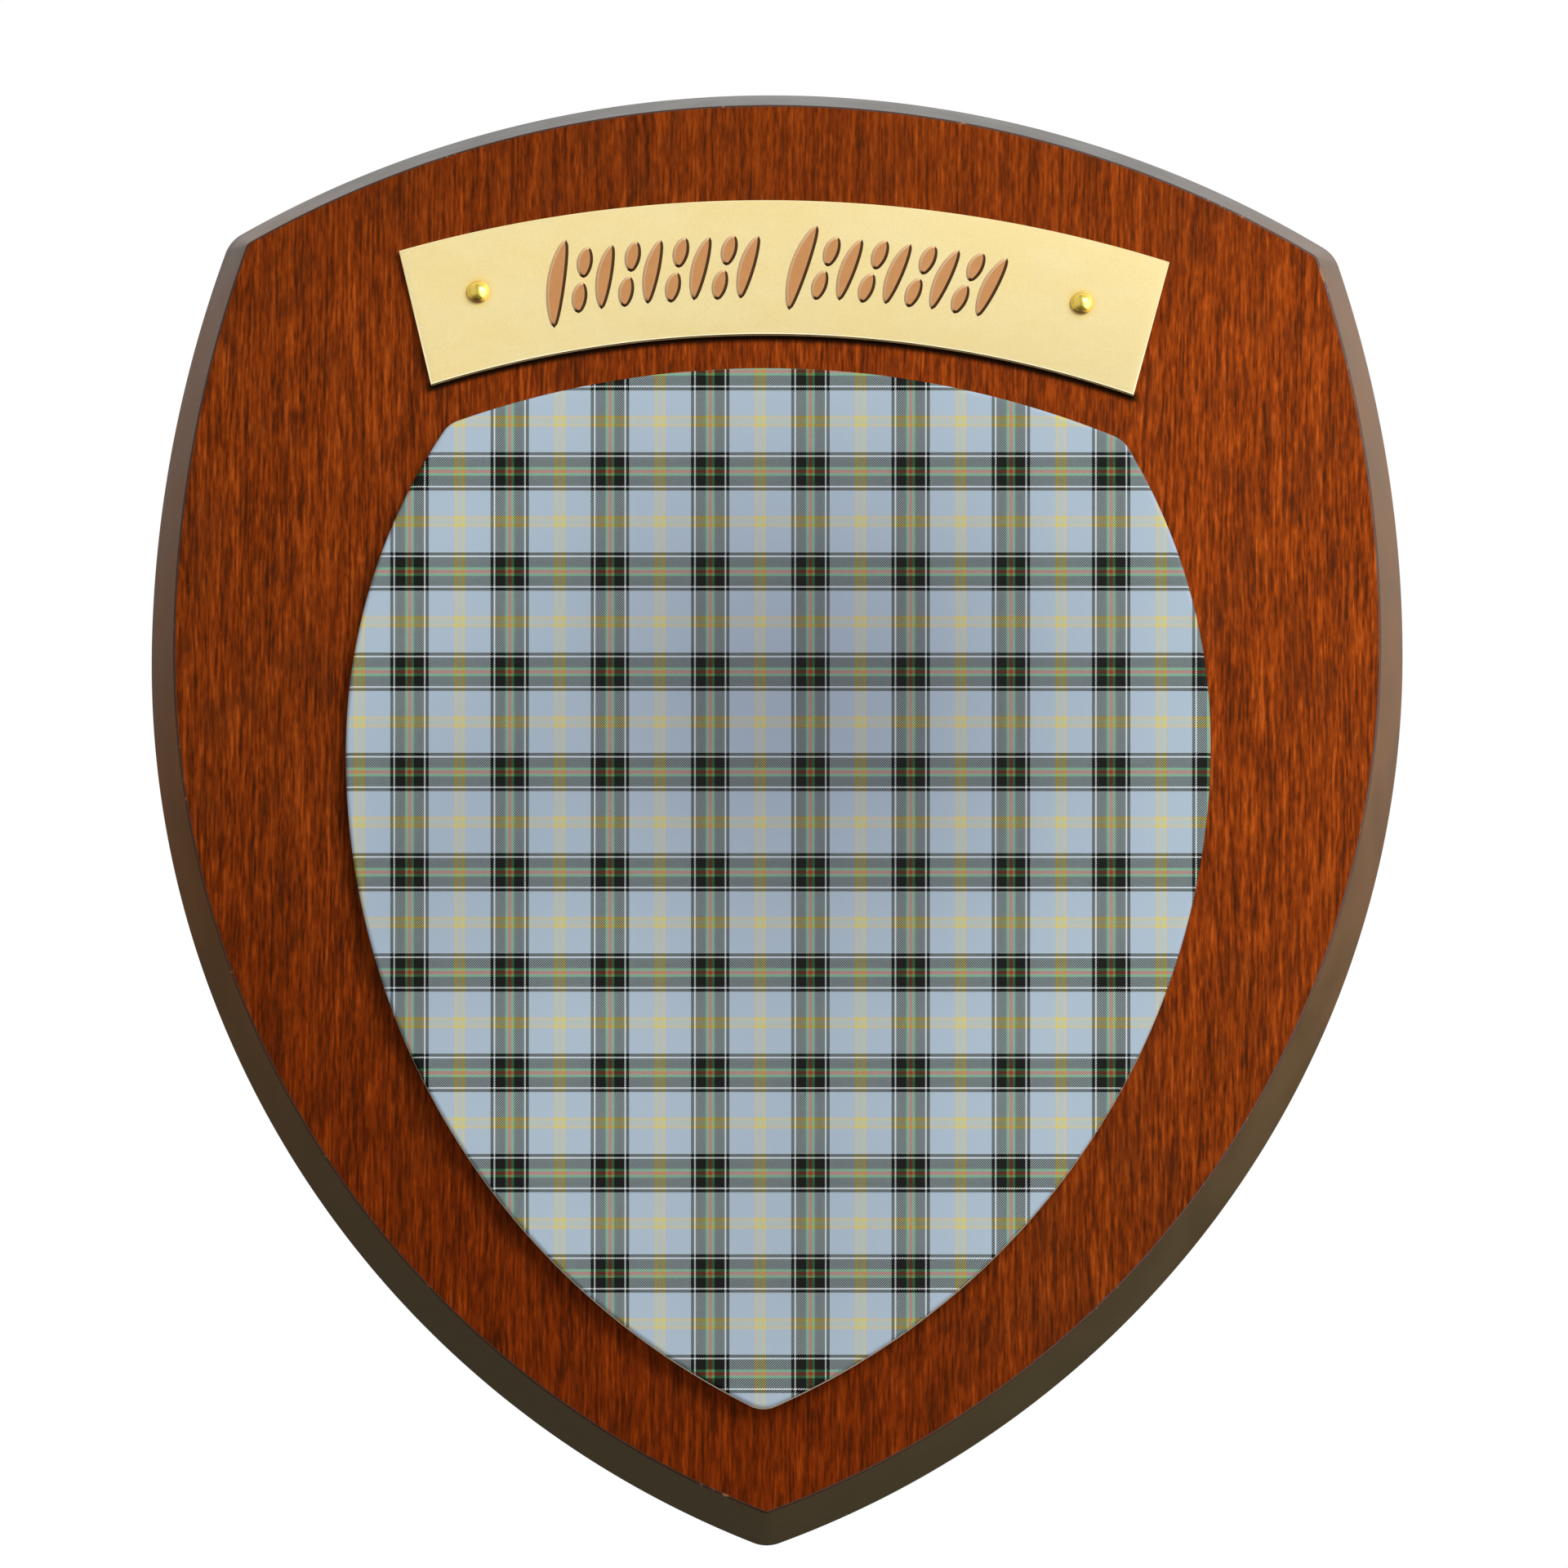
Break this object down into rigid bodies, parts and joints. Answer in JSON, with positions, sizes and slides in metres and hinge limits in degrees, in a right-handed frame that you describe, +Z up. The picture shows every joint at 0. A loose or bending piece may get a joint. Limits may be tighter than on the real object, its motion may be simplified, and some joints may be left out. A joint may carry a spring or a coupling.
{
  "type": "wooden wall plaque",
  "caption": "Shield-shaped wooden wall plaque with a raised tartan shield and an arched brass nameplate held by domed pins.",
  "frame": {"origin": "on the flat back face where it meets the wall, on the centre line at half the plaque's height", "axes": "+Y out of the back towards the wall, the front faces -Y; +Z up; +X to the viewer's right"},
  "size_m": [0.174, 0.0163, 0.203],
  "materials": {
    "mahogany": "reddish mahogany with fine dark upright pores under satin lacquer; the sloped edge is a smooth grey-brown stain",
    "tartan_cloth": "fine twill tartan, light blue ground with black, white, green, red and yellow lines, bonded smooth and slightly glossy",
    "satin_brass": "pale satin brass, very finely brushed, with raised copper-tan strokes",
    "bright_brass": "polished domed brass"
  },
  "bodies": {
    "root": {"backboard": "mahogany", "tartan_shield": "tartan_cloth", "nameplate": "satin_brass", "nameplate_pin_left": "bright_brass", "nameplate_pin_right": "bright_brass"}
  },
  "joints": []
}
